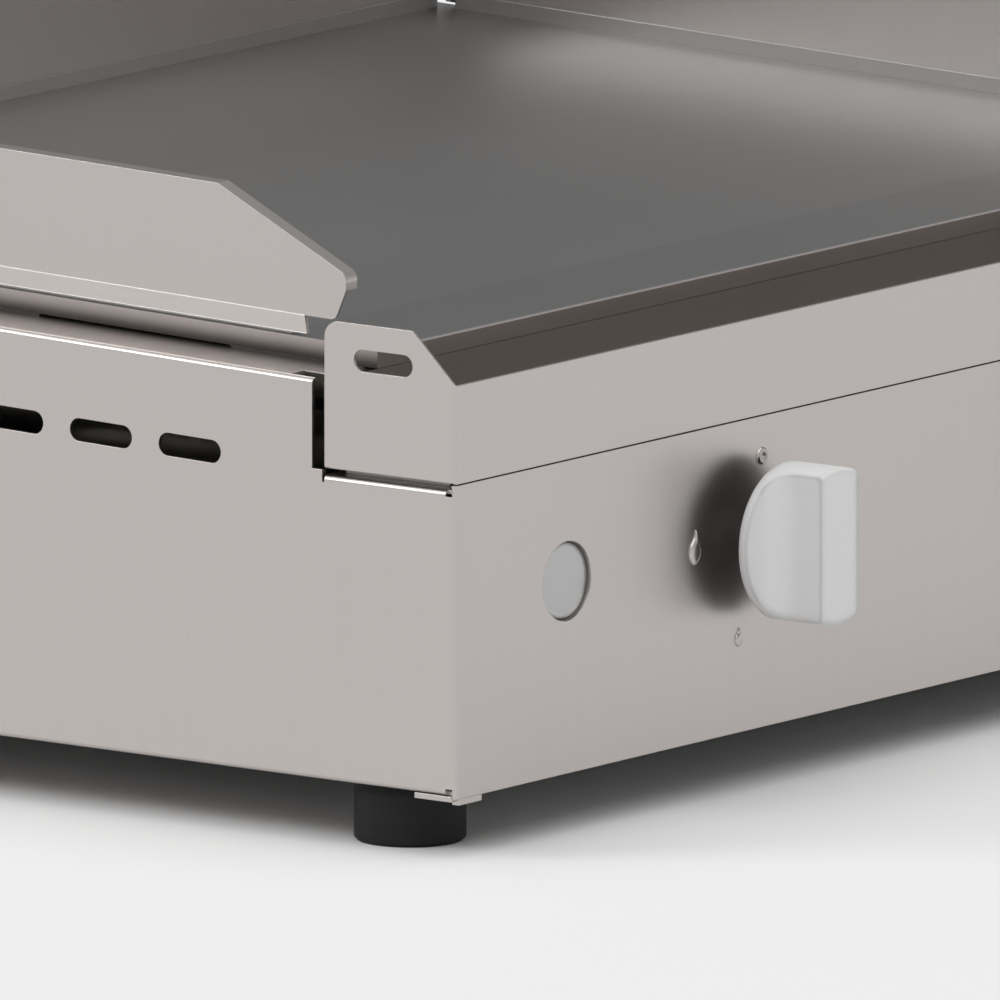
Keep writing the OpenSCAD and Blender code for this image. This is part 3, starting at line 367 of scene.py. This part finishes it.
FINISHES = {
    steel: [
        "chassis_wrap", "rear_panel", "corner_plates",
        "splash_guard_left", "splash_guard_right", "splash_guard_back",
    ],
    brushed("brushed_stainless_tray", STAINLESS, spread=0.03, depth=0.001 * MM): ["grease_tray"],
    brushed("mill_finish_steel", (0.45, 0.44, 0.43), rough=0.42): [
        "plate_pads", "front_baffle", "tray_runners", "guard_bars", "burner_cradles",
        "tap_clamps",
    ],
    satin("zinc_plated_steel", (0.52, 0.53, 0.55), METAL, 0.38): [
        "foot_screws", "foot_nuts", "guard_screws", "panel_screws", "pan_screws",
        "manifold_brackets", "gas_manifold", "igniter_studs", "lead_clips",
    ],
    satin("aluminised_steel", (0.50, 0.50, 0.49), METAL, 0.45, speckle=600, spread=0.2): [
        "base_pan", "heat_shield",
    ],
    satin("black_rubber", (0.006, 0.006, 0.006), NOT_METAL, 0.6, depth=0.04 * MM, specular=0.3): [
        "feet",
    ],
    satin("grey_plastic", (0.16, 0.16, 0.16), NOT_METAL, 0.5): ["igniter_housing"],
    satin("brass", (0.62, 0.46, 0.20), METAL, 0.32): [
        "gas_taps", "injectors", "gas_inlet", "inlet_nut",
        "tap_plunger_left", "tap_plunger_right",
    ],
    satin("copper", (0.70, 0.36, 0.22), METAL, 0.35): ["thermocouple_lines"],
    satin("aluminium_tube", (0.66, 0.66, 0.67), METAL, 0.35): ["gas_feed_pipe"],
    satin("white_ceramic", (0.75, 0.73, 0.68), NOT_METAL, 0.3): ["electrodes"],
    satin("lead_sheath", (0.03, 0.03, 0.03), NOT_METAL, 0.45): ["ignition_leads"],
    satin("spring_steel", (0.42, 0.42, 0.43), METAL, 0.35): [
        "tap_spring_left", "tap_spring_right", "igniter_spring", "electrode_tips",
        "thermocouple_probes", "tap_stem_left", "tap_stem_right",
    ],
    plate_material(): ["cooking_plate"],
    knob_material(): ["knob_left", "knob_right"],
    burner_material(): ["burner_left", "burner_right"],
    button_material(): ["igniter_button"],
}
for material, names in FINISHES.items():
    for name in names:
        slots = nodes[name].data.materials
        slots.clear()
        slots.append(material)


# ---------------------------------------------------------------- setting marks

DOT_RADIUS, DOT_POINTS = 3.4, 8
DOT = [
    (DOT_RADIUS * math.cos(angle), DOT_RADIUS * math.sin(angle))
    for angle in (math.tau * i / DOT_POINTS for i in range(DOT_POINTS))
]
FLAME = [
    (0.5, 6.6), (-0.6, 3.6), (-2.9, 0.6), (-3.3, -3.2), (-0.8, -6.3),
    (2.3, -5.2), (3.4, -2.0), (2.2, 1.6), (1.4, 3.6),
]
SMALL_FLAME = [(0.62 * x, 0.55 * z) for x, z in FLAME]
# outline, x from the knob's axis, z, and how far the edge and the middle stand out, in mm
MARKS = [
    (DOT, 2.3, 98, 0.8, 0.1),
    (FLAME, -38.3, 70.3, 0.9, 1.0),
    (SMALL_FLAME, -12, 33.9, 0.8, 0.9),
]


CURVE_STEPS = 6


def curve(points):
    """Closed smooth outline through a few points."""
    out = []
    for i in range(len(points)):
        a, b, c, d = (Vector(points[(i + k) % len(points)]) for k in (-1, 0, 1, 2))
        for j in range(CURVE_STEPS):
            t = j / CURVE_STEPS
            bend = 2 * a - 5 * b + 4 * c - d + t * (3 * (b - c) + d - a)
            out.append(b + 0.5 * t * (c - a + t * bend))
    return out


def stamped(form, outline, centre, edge, middle):
    """A closed mark on the front panel that stands out by edge, and by middle within."""
    count = len(outline)
    mean = [sum(p[k] for p in outline) / count for k in (0, 1)]

    def ring(share, y):
        points = [[mean[k] + (p[k] - mean[k]) * share for k in (0, 1)] for p in outline]
        return [form.verts.new(at(centre[0] + x, y, centre[1] + z)) for x, z in points]

    # each ring's share of the outline and its y, from just inside the panel outwards
    profile = [(1, 0.05), (1, -0.08), (0.86, -0.7 * edge), (0.62, -edge), (0.3, -middle)]
    rings = [ring(share, y) for share, y in profile]
    for outer, inner in zip(rings, rings[1:]):
        for i in range(count):
            form.faces.new((outer[i - 1], outer[i], inner[i], inner[i - 1]))
    form.faces.new(rings[-1])
    form.faces.new(list(reversed(rings[0])))


def setting_marks(name, knob_x):
    """Off, large flame and small flame, pressed into the panel round a knob."""
    form = bmesh.new()
    for outline, from_knob, z, edge, middle in MARKS:
        stamped(form, curve(outline), (knob_x + from_knob, z), edge, middle)
    bmesh.ops.recalc_face_normals(form, faces=form.faces)
    obj = add_mesh(name, form, steel)
    polygons = obj.data.polygons
    polygons.foreach_set("use_smooth", [True] * len(polygons))
    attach(obj, "chassis")


for side, knob_x in KNOB_XS.items():
    setting_marks(f"setting_marks_{side}", knob_x)


# ---------------------------------------------------------------- floor, world and lamps

FLOOR_RADIUS, FLOOR_SIDES = 60, 96
FLOOR_GREY = (0.75, 0.75, 0.75)


def floor():
    """A pale floor, far wider than any view of the object."""
    s = Shader("floor_paint")
    s.set(color=s.vary(FLOOR_GREY, 0.01, s.noise((3, 3, 3))), rough=0.9, specular=0.0)
    form = bmesh.new()
    bmesh.ops.create_circle(form, cap_ends=True, segments=FLOOR_SIDES, radius=FLOOR_RADIUS)
    add_mesh("floor", form, s.material)


def studio():
    """A wide soft studio, pale all round."""
    world = bpy.data.worlds.new("studio")
    scene.world = world
    world.use_nodes = True
    world.node_tree.nodes.clear()
    s = Nodes(world.node_tree)
    sky = s.node("TexCoord").outputs["Generated"]
    back_right, back_left = s.dot(sky, (0.8, 0.6, 0)), s.dot(sky, (-0.8, 0.6, 0))
    up, overhead = s.dot(sky, (0, 0, 1)), s.dot(sky, (-0.33, 0.35, 0.88))

    # pale at the horizon, less so in front to the right, which the front panel mirrors
    front_right_light = s.ramp(up, 0.15, 0.45, before=0.56, after=0.35)
    back_left_light = s.ramp(up, 0.04, 0.2, before=0.95, after=0.5)
    light = s.mix(s.ramp(back_left, -0.9, 0.9), front_right_light, back_left_light)
    # darker behind to the right, which the plate mirrors
    patch_light = s.ramp(up, 0.02, 0.1, before=0.8, after=0.23)
    light = s.mix(s.ramp(back_right, 0.75, 0.95), light, patch_light)
    light = s.mix(s.ramp(overhead, 0.35, 0.9), light, 0.35)

    dome = s.node("Background", (1, 1, 1, 1), light)
    s.node("OutputWorld", dome.outputs[0])


def soft_sun(name, towards, strength, angle):
    """A sun that stands towards the given direction and is angle degrees wide."""
    lamp = bpy.data.lights.new(name, "SUN")
    lamp.energy, lamp.angle = strength, math.radians(angle)
    aim(add(name, lamp), Vector(towards).normalized(), "Z")


floor()
studio()
soft_sun("overhead_back", (-0.6, 0.58, 0.55), strength=0.8, angle=24)
soft_sun("overhead", (-0.2, -0.2, 0.96), strength=2.05, angle=86)
